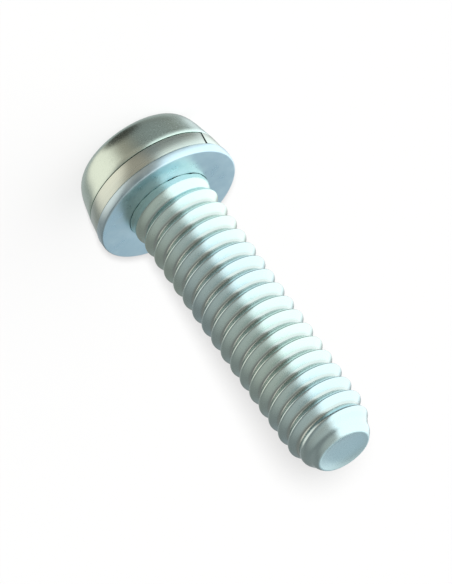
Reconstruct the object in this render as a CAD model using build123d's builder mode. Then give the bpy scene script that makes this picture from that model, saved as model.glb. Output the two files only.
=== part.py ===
import os
from math import pi, radians, tan

from build123d import *

# Slotted low cheese head screw of zinc plated steel, with a split spring lock
# washer and a plain washer held captive under its head by the rolled thread.
# It stands on its head: the head's flat top is at z = 0 and the point is up.

# Head
head_base_d = 10.3      # across the head at its underside
head_taper = 13.0       # degrees that the side leans in towards the top
head_h = 2.8
head_edge_r = 0.45      # rounding of the edge between side and top
slot_w = 1.6
slot_depth = 1.25

# Shank
length = 25.4           # from the head's underside to the end of the point
thread_d = 6.25         # over the crests of the thread
roll_growth = 0.75      # how much rolling raises the crests over the blank, across
neck_fillet_r = 0.15
point_len = 3.0         # rounded header point
point_end_d = 3.1       # flat left at the end of the point

# Spring lock washer
lock_past_head = 0.1    # how far it stands out past the head, all round
lock_t = 1.15
lock_rise = 0.13        # how far one end of the coil stands above the other
lock_corner = 0.16      # flats along the four corners of the wire
split_w = 0.55
split_slant = 25.0      # degrees between the split and the screw's axis
split_at = 208.0        # degrees round from +X

# Plain washer
flat_past_head = 0.25   # how far it stands out past the head, all round
flat_t = 0.7
flat_edge = 0.12        # edges broken by tumbling

# Clearances
bore_clear = 0.18       # round the neck, inside each washer
seat_clear = 0.03       # between one face and the next, along the axis
crest_clear = 0.04      # between the crests and the mouth of the plain washer's bore
captive_play = 0.15     # from the plain washer to the first crest

# Heights along the axis, from the head's top to the point
lock_z = head_h + seat_clear
flat_z = lock_z + lock_t + lock_rise + seat_clear
thread_z = flat_z + flat_t + captive_play
end_z = head_h + length
point_z = end_z - point_len

# Radii
thread_r = thread_d / 2
neck_r = thread_r - roll_growth / 2   # the plain blank that the washers turn on
bore_r = neck_r + bore_clear
head_base_r = head_base_d / 2
head_top_r = head_base_r - head_h * tan(radians(head_taper))
lock_or = head_base_r + lock_past_head
flat_or = head_base_r + flat_past_head

# The screw is turned about its axis: head, neck, the cone where the thread
# starts, the shank at the size of its crests, and the rounded point.
with BuildPart() as screw:
    with BuildSketch(Plane.XZ):
        with BuildLine():
            Polyline(
                (0, end_z), (0, 0), (head_top_r, 0), (head_base_r, head_h), (neck_r, head_h),
                (neck_r, thread_z), (thread_r, thread_z + thread_r - neck_r), (thread_r, point_z),
            )
            TangentArc((thread_r, point_z), (point_end_d / 2, end_z), tangent=(0, 1))
            Line((point_end_d / 2, end_z), (0, end_z))
        make_face()
    revolve(axis=Axis.Z)
    rims = screw.edges().filter_by(GeomType.CIRCLE)
    fillet(rims.group_by(Axis.Z)[0], head_edge_r)
    underside = screw.edges().filter_by(GeomType.CIRCLE).filter_by_position(Axis.Z, head_h, head_h)
    fillet(underside.sort_by(SortBy.RADIUS)[0], neck_fillet_r)
    # The slot is sawn right across the head's top.
    with BuildSketch():
        Rectangle(2 * head_base_d, slot_w)
    extrude(amount=slot_depth, mode=Mode.SUBTRACT)
screw.part.label = "screw"

# The lock washer is one turn of a left-hand coil, wound from wire with eased
# corners and parted by a slanted split, so its two ends stand at different heights.
coil_z = lock_z + lock_t / 2
coil_turns = 1 - split_w / (64 * pi * lock_or)   # a hair short of a full turn
with BuildPart() as lock_coil:
    with BuildLine():
        coil = Helix(
            pitch=lock_rise, height=lock_rise * coil_turns, radius=(bore_r + lock_or) / 2,
            center=(0, 0, coil_z), lefthand=True,
        )
    with BuildSketch(Plane(origin=coil @ 0, x_dir=(1, 0, 0), z_dir=coil % 0)):
        wire_section = Rectangle(lock_or - bore_r, lock_t)
        chamfer(wire_section.vertices(), lock_corner)
    sweep(path=coil, is_frenet=True)
    with BuildSketch(Plane(origin=(0, 0, coil_z + lock_rise / 2), x_dir=(0, 1, 0), z_dir=(1, 0, 0))):
        Rectangle(split_w, 4 * lock_t, rotation=-split_slant)
    extrude(amount=2 * lock_or, mode=Mode.SUBTRACT)

with BuildPart() as lock_washer:
    add(lock_coil.part, rotation=(0, 0, split_at))
lock_washer.part.label = "lock_washer"

# The plain washer is stamped from strip, with its edges broken by tumbling. The
# mouth of its bore is opened on the clamping side until it clears the crests.
with BuildPart() as flat_washer:
    with BuildSketch(Plane.XY.offset(flat_z)):
        Circle(flat_or)
        Circle(bore_r, mode=Mode.SUBTRACT)
    extrude(amount=flat_t)
    rim = flat_washer.faces().sort_by(Axis.Z)[-1].edges().sort_by(SortBy.RADIUS)[-1]
    back_edges = flat_washer.faces().sort_by(Axis.Z)[0].edges()
    chamfer([rim, *back_edges], flat_edge)
    mouth = flat_washer.faces().sort_by(Axis.Z)[-1].edges().sort_by(SortBy.RADIUS)[0]
    chamfer(mouth, thread_r + crest_clear - bore_r)
flat_washer.part.label = "flat_washer"

os.makedirs("parts", exist_ok=True)
export_step(screw.part, "parts/screw.step")
export_step(lock_washer.part, "parts/lock_washer.step")
export_step(flat_washer.part, "parts/flat_washer.step")
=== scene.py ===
from math import atan2, cos, hypot, pi, radians, sin, sqrt, tan

import bmesh
import bpy
from mathutils import Matrix, Vector


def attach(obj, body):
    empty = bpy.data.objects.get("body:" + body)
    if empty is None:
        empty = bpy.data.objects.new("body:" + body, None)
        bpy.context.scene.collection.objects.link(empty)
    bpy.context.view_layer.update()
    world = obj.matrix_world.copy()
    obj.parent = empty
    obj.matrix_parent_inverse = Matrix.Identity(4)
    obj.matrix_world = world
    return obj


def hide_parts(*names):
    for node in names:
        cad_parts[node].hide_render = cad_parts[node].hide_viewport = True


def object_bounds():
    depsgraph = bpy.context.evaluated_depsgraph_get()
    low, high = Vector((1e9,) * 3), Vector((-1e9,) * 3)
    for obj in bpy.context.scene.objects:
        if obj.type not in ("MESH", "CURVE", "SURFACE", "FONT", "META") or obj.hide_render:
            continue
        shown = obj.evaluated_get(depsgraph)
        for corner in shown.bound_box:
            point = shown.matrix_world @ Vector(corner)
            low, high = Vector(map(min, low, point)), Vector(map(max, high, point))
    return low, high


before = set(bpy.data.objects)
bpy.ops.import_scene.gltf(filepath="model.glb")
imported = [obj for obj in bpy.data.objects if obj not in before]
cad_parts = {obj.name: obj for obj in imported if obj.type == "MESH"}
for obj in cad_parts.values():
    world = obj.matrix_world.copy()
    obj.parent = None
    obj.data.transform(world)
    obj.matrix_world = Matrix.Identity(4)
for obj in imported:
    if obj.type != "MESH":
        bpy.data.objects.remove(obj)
cad_low, cad_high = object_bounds()


# Screw
# One piece of low carbon steel wire. The low cheese head is cold headed on one end, the
# thread is rolled between flat dies, which leaves the neck at the size of the blank, and
# the slot is sawn last. The whole screw is then zinc plated in a barrel.

MM = 0.001

head_base_r = 5.15 * MM
head_h = 2.8 * MM
head_taper = radians(13)
head_edge = (1.5 * MM, 0.7 * MM)    # how far the edge's curve runs up the side, and in
slot_w = 1.6 * MM
slot_depth = 1.25 * MM

pitch = 25.4 / 20 * MM
crest_r = 3.125 * MM
root_r = 2.618 * MM
neck_r = 2.75 * MM
neck_cut = 4.5 * MM             # height inside the washers where neck and thread meet
collar = (4.62 * MM, 4.84 * MM)     # where the neck swells to the size of the crests
run_in = (4.88 * MM, 6.3 * MM)      # where the groove deepens, over its first turn
point_z = 25.2 * MM
end_z = cad_high.z
point_arc_r = 4.6 * MM          # meets the shank without an edge
rim_round = 0.08 * MM           # how far the end's rim is rounded, along the axis
shallow_groove = 0.15 * MM      # depth that the groove keeps on the point
shallow_end = (27.4 * MM, 28 * MM)  # where that last groove dies out
crest_at = 16.7375 * MM         # height of a crest on the side that faces -Y
round_steps = 96

# Half of one thread, from the middle of a crest to the middle of the root: share of the
# pitch along the axis, and share of the depth. It is rounder and shallower than the
# standard form, whose grooves came out darker than the photo's.
half_thread = (
    (0.0, 0.0), (0.03, 0.009), (0.06, 0.036), (0.094, 0.104), (0.18, 0.344),
    (0.27, 0.594), (0.36, 0.845), (0.4, 0.93), (0.45, 0.982), (0.5, 1.0),
)


def smooth(value, low, high):
    """0 below low, 1 above high, and a soft step between them."""
    share = min(1.0, max(0.0, (value - low) / (high - low)))
    return share * share * (3 - 2 * share)


def polyline(bm, points, close=False):
    """Vertices joined by edges in the plane y = 0, from (radius, height) pairs."""
    made = [bm.verts.new((r, 0, z)) for r, z in points]
    ends = made[1:] + made[:1] if close else made[1:]
    return made + [bm.edges.new(pair) for pair in zip(made, ends)]


def ring_edges(bm, r, z):
    """Edges of the circle of radius r at height z."""
    def on_ring(v):
        return abs(hypot(v.co.x, v.co.y) - r) < 0.004 * MM and abs(v.co.z - z) < 0.002 * MM
    return [e for e in bm.edges if all(on_ring(v) for v in e.verts)]


def bevel(bm, edges, offset, segments):
    bmesh.ops.bevel(
        bm, geom=edges, offset=offset, offset_type="OFFSET", segments=segments,
        profile=0.5, affect="EDGES", material=-1, clamp_overlap=True,
    )


def finish_piece(bm, name, body, node, sharp=35):
    """Makes the object, rides it on its body and puts it in place of its CAD node."""
    bmesh.ops.recalc_face_normals(bm, faces=bm.faces)
    mesh = bpy.data.meshes.new(name)
    bm.to_mesh(mesh)
    bm.free()
    mesh.shade_smooth()
    mesh.set_sharp_from_angle(angle=radians(sharp))
    piece = bpy.data.objects.new(name, mesh)
    bpy.context.scene.collection.objects.link(piece)
    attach(piece, body)
    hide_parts(node)
    return piece


# The thread: the profile of the whole row of threads is carried once round and up by one
# pitch, so that each thread's end falls on the next one's start.
bm = bmesh.new()
one_thread = [(-a, d) for a, d in reversed(half_thread[1:])] + list(half_thread[:-1])
crest_0 = crest_at + pitch / 4          # the crest where the helix passes over +X
first = crest_0 - pitch * int((crest_0 - neck_cut) / pitch + 2.5)
rows = int((end_z - first) / pitch + 2.5)
row = [
    (crest_r - d * (crest_r - root_r), first + (n + a) * pitch)
    for n in range(rows) for a, d in one_thread
]
bmesh.ops.spin(
    bm, geom=polyline(bm, row), cent=(0, 0, 0), axis=(0, 0, 1), angle=2 * pi,
    steps=round_steps, dvec=(0, 0, pitch / round_steps), use_merge=False,
)
bmesh.ops.remove_doubles(bm, verts=bm.verts, dist=0.001 * MM)

# The first groove is shallow, and the crests shrink away on the rounded point.
arc_centre_r = crest_r - point_arc_r
for v in bm.verts:
    r, z = hypot(v.co.x, v.co.y), v.co.z
    height = (r - root_r) / (crest_r - root_r)
    top = neck_r + (crest_r - neck_r) * smooth(z, *collar)
    bottom = top - (crest_r - root_r) * smooth(z, *run_in)
    if z > point_z:
        # Rows past the end are cut off below, so they only need to stay on the arc.
        rise = min(z - point_z, 0.9 * point_arc_r)
        point_r = arc_centre_r + sqrt(point_arc_r ** 2 - rise ** 2)
        shallow = shallow_groove * (1 - smooth(z, *shallow_end))
        top, bottom = min(top, point_r), min(bottom, point_r - shallow)
    scale = (bottom + (top - bottom) * height) / r
    v.co.x *= scale
    v.co.y *= scale

rim_z = end_z - rim_round
for height, up in ((neck_cut, -1), (rim_z, 1)):
    bmesh.ops.bisect_plane(
        bm, geom=bm.verts[:] + bm.edges[:] + bm.faces[:], dist=1e-8,
        plane_co=(0, 0, height), plane_no=(0, 0, up), clear_outer=True,
    )


def next_ring(bm, edges, r, z, to_r, to_z):
    """Extrudes a ring of edges to another radius and height, and gives the new ring."""
    made = bmesh.ops.extrude_edge_only(bm, edges=edges)["geom"]
    verts = [g for g in made if isinstance(g, bmesh.types.BMVert)]
    bmesh.ops.scale(bm, verts=verts, vec=(to_r / r, to_r / r, 1))
    bmesh.ops.translate(bm, verts=verts, vec=(0, 0, to_z - z))
    return [g for g in made if isinstance(g, bmesh.types.BMEdge)]


# Rolling draws the skin out past the core, so the end is cupped inside a round rim.
ring = [e for e in bm.edges if e.is_boundary and e.verts[0].co.z > point_z]
rim_r = arc_centre_r + sqrt(point_arc_r ** 2 - (rim_z - point_z) ** 2)
cup = (
    (rim_r, rim_z), (rim_r - 0.05 * MM, end_z - 0.03 * MM), (rim_r - 0.11 * MM, end_z),
    (rim_r - 0.18 * MM, end_z - 0.01 * MM), (rim_r - 0.6 * MM, end_z - 0.16 * MM),
    (0.7 * MM, end_z - 0.2 * MM),
)
for (r, z), (to_r, to_z) in zip(cup, cup[1:]):
    ring = next_ring(bm, ring, r, z, to_r, to_z)
bmesh.ops.contextual_create(bm, geom=ring)

# Neck and head grow on from the open end of the helix. The edge between the head's side
# and top is a curve that turns slowly on the side and quickly on the top.
ring = [e for e in bm.edges if e.is_boundary and e.verts[0].co.z < point_z]
head_top_r = head_base_r - head_h * tan(head_taper)
up_side, in_top = head_edge
outline = [
    (neck_r, neck_cut), (neck_r, head_h), (4 * MM, head_h), (head_base_r, head_h),
    (head_base_r - 0.5 * MM * tan(head_taper), head_h - 0.5 * MM),
]
for i in range(13):
    u = i / 12
    outline.append((
        head_top_r + (1 - u) ** 2 * up_side * sin(head_taper) - u ** 2 * in_top,
        (1 - u) ** 2 * up_side * cos(head_taper),
    ))
outline += [(2.6 * MM, 0), (0.8 * MM, 0)]
for (r, z), (to_r, to_z) in zip(outline, outline[1:]):
    ring = next_ring(bm, ring, r, z, to_r, to_z)
bmesh.ops.contextual_create(bm, geom=ring)
bevel(bm, ring_edges(bm, neck_r, head_h), 0.15 * MM, 3)
bevel(bm, ring_edges(bm, head_base_r, head_h), 0.02 * MM, 2)

screw = finish_piece(bm, "plated_screw", "screw", "screw")

# The saw leaves square walls, and the plating rounds the slot's mouth.
bm = bmesh.new()
mouth = 0.07 * MM
half_w = slot_w / 2
cut = [
    (half_w, slot_depth), (half_w, mouth), (half_w + 2 * mouth, -mouth),
    (-half_w - 2 * mouth, -mouth), (-half_w, mouth), (-half_w, slot_depth),
]
sawn = bm.faces.new([bm.verts.new((-1.2 * head_base_r, y, z)) for y, z in cut])
through = bmesh.ops.extrude_face_region(bm, geom=[sawn])["geom"]
bmesh.ops.translate(
    bm, verts=[g for g in through if isinstance(g, bmesh.types.BMVert)],
    vec=(2.4 * head_base_r, 0, 0),
)
bmesh.ops.recalc_face_normals(bm, faces=bm.faces)
saw_mesh = bpy.data.meshes.new("saw")
bm.to_mesh(saw_mesh)
bm.free()
saw = bpy.data.objects.new("saw", saw_mesh)
bpy.context.scene.collection.objects.link(saw)
cutting = screw.modifiers.new("slot", "BOOLEAN")
cutting.operation = "DIFFERENCE"
cutting.solver = "EXACT"
cutting.object = saw
evaluated = screw.evaluated_get(bpy.context.evaluated_depsgraph_get())
slotted = bpy.data.meshes.new_from_object(evaluated)
screw.modifiers.clear()
screw.data = slotted
slotted.set_sharp_from_angle(angle=radians(35))
bpy.data.objects.remove(saw)


def linear(hex_colour):
    """An sRGB hex value as linear red, green, blue and an alpha of 1."""
    channels = [int(hex_colour[i:i + 2], 16) / 255 for i in (1, 3, 5)]
    return [c / 12.92 if c <= 0.04045 else ((c + 0.055) / 1.055) ** 2.4 for c in channels] + [1]


def add(tree, kind, sockets=(), **settings):
    """A shader node with its settings, and its sockets set or linked."""
    made = tree.nodes.new("ShaderNode" + kind)
    for name, value in settings.items():
        setattr(made, name, value)
    for socket, value in dict(sockets).items():
        if isinstance(value, bpy.types.NodeSocket):
            tree.links.new(value, made.inputs[socket])
        else:
            made.inputs[socket].default_value = value
    return made


def new_material(name):
    material = bpy.data.materials.new(name)
    material.use_nodes = True
    material.node_tree.nodes.clear()
    return material, material.node_tree


# Bright zinc plate from a barrel, sealed with a clear chromate: pale, cool and a little
# milky. As in the photo, its cast drifts from blue at the point to a faint green by the
# head. The barrel leaves the surface a little uneven.
barrel_zinc, tree = new_material("barrel_zinc_plate")
place = add(tree, "TexCoord").outputs["Object"]
cast = add(tree, "TexNoise", {"Vector": place, "Scale": 110.0, "Detail": 1.0, "Roughness": 0.4})
point = add(tree, "SeparateXYZ", {"Vector": place})
drift = add(
    tree, "MapRange",
    {"Value": point.outputs["Z"], "From Min": 5 * MM, "From Max": 26 * MM,
     "To Min": 0.12, "To Max": -0.12},
)
cast = add(tree, "Math", {0: cast.outputs["Fac"], 1: drift.outputs["Result"]}, operation="ADD")
tint = add(tree, "ValToRGB", {"Fac": cast.outputs["Value"]})
tint.color_ramp.elements[0].position = 0.38
tint.color_ramp.elements[0].color = linear("#c5dfe3")
tint.color_ramp.elements[1].position = 0.62
tint.color_ramp.elements[1].color = linear("#cfe5dc")
# The unevenness repeats every 0.5 mm, and the plate's crystals are drawn coarser than
# real ones, 0.15 mm apart.
dents = add(tree, "TexVoronoi", {"Vector": place, "Scale": 1900.0}, feature="SMOOTH_F1")
crystals = add(
    tree, "TexNoise", {"Vector": place, "Scale": 6500.0, "Detail": 2.0, "Roughness": 0.6},
)
dented = add(
    tree, "Bump",
    {"Height": dents.outputs["Distance"], "Strength": 0.15, "Distance": 0.01 * MM},
)
relief = add(
    tree, "Bump",
    {"Height": crystals.outputs["Fac"], "Strength": 0.15, "Distance": 0.006 * MM,
     "Normal": dented.outputs["Normal"]},
)
# The roots of the rolled thread are painted a darker grey, a painted shade in the grooves, and
# the sheared end of the wire is coarse.
across = add(tree, "CombineXYZ", {"X": point.outputs["X"], "Y": point.outputs["Y"]})
radius = add(tree, "VectorMath", {0: across.outputs["Vector"]}, operation="LENGTH")
in_root = add(
    tree, "MapRange",
    {"Value": radius.outputs["Value"], "From Min": root_r, "From Max": root_r + 0.15 * MM,
     "To Min": 1.0, "To Max": 0.0},
    interpolation_type="SMOOTHSTEP",
)
on_shank = add(
    tree, "MapRange",
    {"Value": point.outputs["Z"], "From Min": run_in[0], "From Max": run_in[1]},
)
before_end = add(
    tree, "MapRange",
    {"Value": point.outputs["Z"], "From Min": end_z - 1.6 * MM, "From Max": end_z - 0.8 * MM,
     "To Min": 1.0, "To Max": 0.0},
)
rolled = add(
    tree, "Math", {0: on_shank.outputs["Result"], 1: before_end.outputs["Result"]},
    operation="MULTIPLY",
)
painted_root_shade = add(
    tree, "Math", {0: in_root.outputs["Result"], 1: rolled.outputs["Value"]},
    operation="MULTIPLY",
)
# Painted shade: the darker grey #bccbc8 is mixed into the roots of the rolled thread.
colour = add(
    tree, "Mix",
    {"Factor": painted_root_shade.outputs["Value"], "A": tint.outputs["Color"], "B": linear("#bccbc8")},
    data_type="RGBA",
)
coarse = add(
    tree, "MapRange",
    {"Value": point.outputs["Z"], "From Min": end_z - 0.12 * MM, "From Max": end_z - 0.02 * MM,
     "To Min": 0.0, "To Max": 0.22},
)
patchy = add(
    tree, "MapRange",
    {"Value": crystals.outputs["Fac"], "From Min": 0.3, "From Max": 0.7,
     "To Min": 0.21, "To Max": 0.28},
)
rough = add(
    tree, "Math", {0: coarse.outputs["Result"], 1: patchy.outputs["Result"]}, operation="ADD",
)
plate = add(
    tree, "BsdfPrincipled",
    {"Base Color": colour.outputs["Result"], "Metallic": 1.0, "Roughness": rough.outputs["Value"],
     "Normal": relief.outputs["Normal"]},
)
add(tree, "OutputMaterial", {"Surface": plate.outputs["BSDF"]})
screw.data.materials.clear()
screw.data.materials.append(barrel_zinc)


# Lock washer
# One turn of spring steel wire, coiled left handed, cut off with a slanted split, hardened
# and zinc plated. It is loose round the neck and bears on the head's underside.

bore_r = 2.93 * MM
lock_r = 5.33 * MM
lock_t = 1.24 * MM
lock_z = head_h + 0.01 * MM
lock_rise = 0.05 * MM
lock_lean = 0.18 * MM           # chosen so that its side mirrors what the head's does
lock_corner = 0.025 * MM
split_half = 0.09 * MM
split_slant = radians(25)
split_at = radians(208)

bm = bmesh.new()
wire = polyline(
    bm,
    [(bore_r, 0), (lock_r - lock_lean, 0), (lock_r, lock_t), (bore_r, lock_t)],
    close=True,
)
wire_face = bm.faces.new([g for g in wire if isinstance(g, bmesh.types.BMVert)])
bmesh.ops.bevel(
    bm, geom=wire_face.verts[:], offset=lock_corner, offset_type="OFFSET", segments=4,
    profile=0.5, affect="VERTICES", material=-1,
)
mid_r = (bore_r + lock_r) / 2
gap = 2 * split_half / mid_r
coil_steps = 120
bmesh.ops.rotate(
    bm, verts=bm.verts, cent=(0, 0, 0), matrix=Matrix.Rotation(split_at + gap / 2, 3, "Z"),
)
bmesh.ops.translate(bm, verts=bm.verts, vec=(0, 0, lock_z + lock_rise))
bmesh.ops.spin(
    bm, geom=bm.verts[:] + bm.edges[:] + bm.faces[:], cent=(0, 0, 0), axis=(0, 0, 1),
    angle=2 * pi - gap, steps=coil_steps, dvec=(0, 0, -lock_rise / coil_steps), use_merge=False,
)
middle_z = lock_z + (lock_t + lock_rise) / 2
for v in bm.verts:
    r = hypot(v.co.x, v.co.y)
    turn = (atan2(v.co.y, v.co.x) - split_at + pi) % (2 * pi) - pi
    # Both cut faces are flat and parallel, so the gap is as wide inside as outside.
    near = 1 - smooth(abs(turn), gap / 2, radians(16))
    square = (split_half / r - gap / 2) * (1 if turn > 0 else -1)
    lean = (v.co.z - middle_z) * tan(split_slant) / r
    bmesh.ops.rotate(
        bm, verts=[v], cent=(0, 0, 0), matrix=Matrix.Rotation(near * (square + lean), 3, "Z"),
    )
lock_washer = finish_piece(
    bm, "spring_lock_washer", "lock_washer", "lock_washer",
)

# Bright zinc on hardened spring wire: a shade greyer than the screw, with faint lines
# that the drawing die left along the wire, so they run round the washer.
spring_zinc, tree = new_material("zinc_on_spring_wire")
place = add(tree, "TexCoord").outputs["Object"]
point = add(tree, "SeparateXYZ", {"Vector": place})
across = add(tree, "CombineXYZ", {"X": point.outputs["X"], "Y": point.outputs["Y"]})
radius = add(tree, "VectorMath", {0: across.outputs["Vector"]}, operation="LENGTH")
# Lines 0.12 mm apart, drawn coarser than real ones.
over_wire = add(tree, "CombineXYZ", {"X": radius.outputs["Value"], "Z": point.outputs["Z"]})
lines = add(
    tree, "TexNoise", {"Vector": over_wire.outputs["Vector"], "Scale": 8000.0, "Detail": 1.0},
)
clouds = add(tree, "TexNoise", {"Vector": place, "Scale": 300.0, "Detail": 2.0})
tint = add(tree, "ValToRGB", {"Fac": clouds.outputs["Fac"]})
tint.color_ramp.elements[0].position = 0.35
tint.color_ramp.elements[0].color = linear("#c4d6d2")
tint.color_ramp.elements[1].position = 0.65
tint.color_ramp.elements[1].color = linear("#cfded4")
rough = add(
    tree, "MapRange",
    {"Value": lines.outputs["Fac"], "From Min": 0.3, "From Max": 0.7,
     "To Min": 0.22, "To Max": 0.3},
)
relief = add(
    tree, "Bump", {"Height": lines.outputs["Fac"], "Strength": 0.3, "Distance": 0.004 * MM},
)
plate = add(
    tree, "BsdfPrincipled",
    {"Base Color": tint.outputs["Color"], "Metallic": 1.0, "Roughness": rough.outputs["Result"],
     "Normal": relief.outputs["Normal"]},
)
add(tree, "OutputMaterial", {"Surface": plate.outputs["BSDF"]})
lock_washer.data.materials.append(spring_zinc)


# Plain washer
# Stamped from steel strip and tumbled until its edges are eased. The mouth of its bore is
# opened on the clamping side, and it is zinc plated with a bluer chromate.

flat_r = 5.4 * MM
flat_t = 0.71 * MM
flat_z = 4.13 * MM
mouth_r = crest_r + 0.04 * MM

bm = bmesh.new()
section = polyline(
    bm,
    [(bore_r, flat_z), (flat_r, flat_z), (flat_r, flat_z + flat_t), (mouth_r, flat_z + flat_t),
     (bore_r, flat_z + flat_t - (mouth_r - bore_r))],
    close=True,
)
bmesh.ops.spin(
    bm, geom=section, cent=(0, 0, 0), axis=(0, 0, 1), angle=2 * pi, steps=128,
    dvec=(0, 0, 0), use_merge=True,
)
bmesh.ops.remove_doubles(bm, verts=bm.verts, dist=0.001 * MM)
bevel(bm, ring_edges(bm, flat_r, flat_z), 0.05 * MM, 3)
bevel(bm, ring_edges(bm, flat_r, flat_z + flat_t), 0.13 * MM, 4)
bevel(bm, ring_edges(bm, mouth_r, flat_z + flat_t), 0.02 * MM, 2)
plain_washer = finish_piece(
    bm, "plain_washer", "flat_washer", "flat_washer",
)

# Zinc plate with a bluer chromate on cold rolled strip that was tumbled: a satin face,
# with the strip's faint rolling lines along X and a soft mottle from the stones.
blue_zinc, tree = new_material("blue_chromate_on_tumbled_strip")
place = add(tree, "TexCoord").outputs["Object"]
# Rolling lines 0.15 mm apart and 3 mm long, and stone marks 0.8 mm across.
along_strip = add(tree, "Mapping", {"Vector": place, "Scale": (330.0, 6500.0, 330.0)})
lines = add(
    tree, "TexNoise", {"Vector": along_strip.outputs["Vector"], "Scale": 1.0, "Detail": 1.0},
)
stones = add(tree, "TexNoise", {"Vector": place, "Scale": 1200.0, "Detail": 2.0})
tint = add(tree, "ValToRGB", {"Fac": stones.outputs["Fac"]})
tint.color_ramp.elements[0].position = 0.3
tint.color_ramp.elements[0].color = linear("#bedbe6")
tint.color_ramp.elements[1].position = 0.7
tint.color_ramp.elements[1].color = linear("#c9e3ec")
rough = add(
    tree, "MapRange",
    {"Value": stones.outputs["Fac"], "From Min": 0.3, "From Max": 0.7,
     "To Min": 0.26, "To Max": 0.36},
)
rolled = add(
    tree, "Bump", {"Height": lines.outputs["Fac"], "Strength": 0.15, "Distance": 0.004 * MM},
)
relief = add(
    tree, "Bump",
    {"Height": stones.outputs["Fac"], "Strength": 0.12, "Distance": 0.01 * MM,
     "Normal": rolled.outputs["Normal"]},
)
plate = add(
    tree, "BsdfPrincipled",
    {"Base Color": tint.outputs["Color"], "Metallic": 1.0, "Roughness": rough.outputs["Result"],
     "Normal": relief.outputs["Normal"]},
)
add(tree, "OutputMaterial", {"Surface": plate.outputs["BSDF"]})
plain_washer.data.materials.append(blue_zinc)


# Stage
# The screw stands on white paper in a light tent with one bright side, and a small lamp
# beside the camera gives it a faint soft shadow.

bm = bmesh.new()
bmesh.ops.create_grid(bm, x_segments=1, y_segments=1, size=1.5)
floor_mesh = bpy.data.meshes.new("floor")
bm.to_mesh(floor_mesh)
bm.free()
floor = bpy.data.objects.new("floor", floor_mesh)
bpy.context.scene.collection.objects.link(floor)
floor.location.z = -0.01 * MM   # just clear of the head's top
floor.visible_glossy = False    # metal shows the tent, which goes on below the screw
paper, tree = new_material("white_paper")
lit = add(tree, "BsdfDiffuse", {"Color": (0.25, 0.25, 0.25, 1)})
seen = add(tree, "LightPath")
# The camera sees the paper brighter than it lights the screw, so it comes out white.
level = add(
    tree, "Math", {0: seen.outputs["Is Camera Ray"], 1: 0.513}, operation="MULTIPLY",
)
glow = add(tree, "Emission", {"Color": (1, 1, 1, 1), "Strength": level.outputs["Value"]})
both = add(tree, "AddShader", {0: lit.outputs["BSDF"], 1: glow.outputs["Emission"]})
add(tree, "OutputMaterial", {"Surface": both.outputs["Shader"]})
floor_mesh.materials.append(paper)

elevation = radians(26.7)
toward_camera = Vector((0, -cos(elevation), sin(elevation)))
across_dir = Vector((-1, 0, 0))
along_dir = Vector((0, sin(elevation), cos(elevation)))

lamp_data = bpy.data.lights.new("lamp", "SUN")
lamp_data.energy = 8.0
lamp_data.angle = radians(3)
lamp = bpy.data.objects.new("lamp", lamp_data)
bpy.context.scene.collection.objects.link(lamp)
lamp.visible_camera = False
lamp.visible_glossy = False
lamp_dir = toward_camera + 0.02 * across_dir - 0.012 * along_dir
lamp.matrix_world = lamp_dir.to_track_quat("Z", "Y").to_matrix().to_4x4()

# What the tent's walls send to the screw, by direction: the middle of a patch, the
# angles from it where the patch is full and where it is gone, its colour and strength.
# They are guesses, set until the metal came out as bright as in the photo.
patches = (
    ((-0.1, -0.35, 0.93), 30, 80, "#fffaf2", 0.52),    # ceiling, over towards the camera
    ((0.85, 0.35, -0.4), 20, 50, "#fffbf6", 0.32),     # wall on the dull side
    ((0, 0.893, 0.45), 12, 40, "#e6f2fa", 0.66),       # far wall
    ((0, 0.68, -0.73), 20, 45, "#ffffff", 0.5),        # far wall, low
    ((0, -0.605, -0.796), 12, 40, "#ffead9", 0.47),    # warm wood under the near edge
    ((0.635, -0.2, -0.744), 15, 38, "#ffefe3", 1.2),   # warm card, low on the dull side
    ((-0.5, -0.4, -0.77), 10, 35, "#ffffff", 0.27),    # shade under the bright side
    ((0, -0.2, -0.98), 13, 25, "#fff8ea", 0.06),       # the screw's own shade
)
world = bpy.data.worlds.new("light_tent")
bpy.context.scene.world = world
world.use_nodes = True
tree = world.node_tree
tree.nodes.clear()
toward = add(tree, "TexCoord").outputs["Generated"]
wall = (0.272, 0.262, 0.252, 1)
for middle, full, gone, hue, strength in patches:
    aim = add(
        tree, "VectorMath", {0: toward, 1: Vector(middle).normalized()}, operation="DOT_PRODUCT",
    )
    share = add(
        tree, "MapRange",
        {"Value": aim.outputs["Value"], "From Min": cos(radians(gone)),
         "From Max": cos(radians(full))},
        interpolation_type="SMOOTHSTEP",
    )
    level = [c * strength for c in linear(hue)[:3]] + [1]
    wall = add(
        tree, "Mix", {"Factor": share.outputs["Result"], "A": wall, "B": level}, data_type="RGBA",
    ).outputs["Result"]
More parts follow.
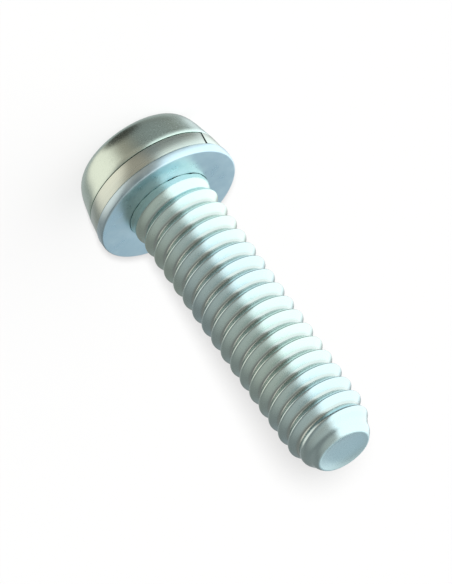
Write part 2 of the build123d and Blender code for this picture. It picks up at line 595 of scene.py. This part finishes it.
# The bright side is a window that fills the -X side down to well below the screw.
axes = add(tree, "SeparateXYZ", {"Vector": toward})
lean = add(tree, "Math", {0: axes.outputs["Z"], 1: 0.136}, operation="MULTIPLY")
lean = add(tree, "Math", {0: lean.outputs["Value"], 1: axes.outputs["X"]}, operation="SUBTRACT")
in_window = add(
    tree, "MapRange", {"Value": lean.outputs["Value"], "From Min": 0.15, "From Max": 0.47},
    interpolation_type="SMOOTHSTEP",
)
over_sill = add(
    tree, "MapRange", {"Value": axes.outputs["Z"], "From Min": -0.65, "From Max": -0.51},
    interpolation_type="SMOOTHSTEP",
)
bright = add(
    tree, "Math", {0: in_window.outputs["Result"], 1: over_sill.outputs["Result"]},
    operation="MULTIPLY",
)
wall = add(
    tree, "Mix", {"Factor": bright.outputs["Value"], "A": wall, "B": (1.5, 1.5, 1.5, 1)},
    data_type="RGBA",
).outputs["Result"]
seen = add(tree, "LightPath")
clear = add(
    tree, "Math", {0: seen.outputs["Is Camera Ray"], 1: seen.outputs["Is Transmission Ray"]},
    operation="MAXIMUM",
)
around = add(tree, "Background", {"Color": wall, "Strength": 1.0})
white = add(tree, "Background", {"Color": (1, 1, 1, 1), "Strength": 1.0})
mixed = add(
    tree, "MixShader",
    {0: clear.outputs["Value"], 1: around.outputs["Background"], 2: white.outputs["Background"]},
)
add(tree, "OutputWorld", {"Surface": mixed.outputs["Shader"]})

# Camera
# A long lens from 26.7 degrees above the floor, rolled so that the point of the screw
# comes down to the right.

px = 1 / 14.4 * MM              # size of one picture element at the screw
turn = radians(35.3)
right = cos(turn) * across_dir + sin(turn) * along_dir
up = sin(turn) * across_dir - cos(turn) * along_dir
camera_data = bpy.data.cameras.new("camera")
camera_data.lens = 1000
camera_data.sensor_width = 36
camera_data.clip_start = 0.01
camera_data.clip_end = 10
distance = 584 * px / (36 / 1000)
head_px = Vector((133.1, 153.5))
look_at = right * (452 / 2 - head_px.x) * px - up * (584 / 2 - head_px.y) * px
camera = bpy.data.objects.new("camera", camera_data)
bpy.context.scene.collection.objects.link(camera)
camera.matrix_world = Matrix.Translation(look_at + toward_camera * distance) @ Matrix(
    (right, up, toward_camera)
).transposed().to_4x4()
bpy.context.scene.camera = camera
bpy.context.scene.view_settings.view_transform = "Standard"
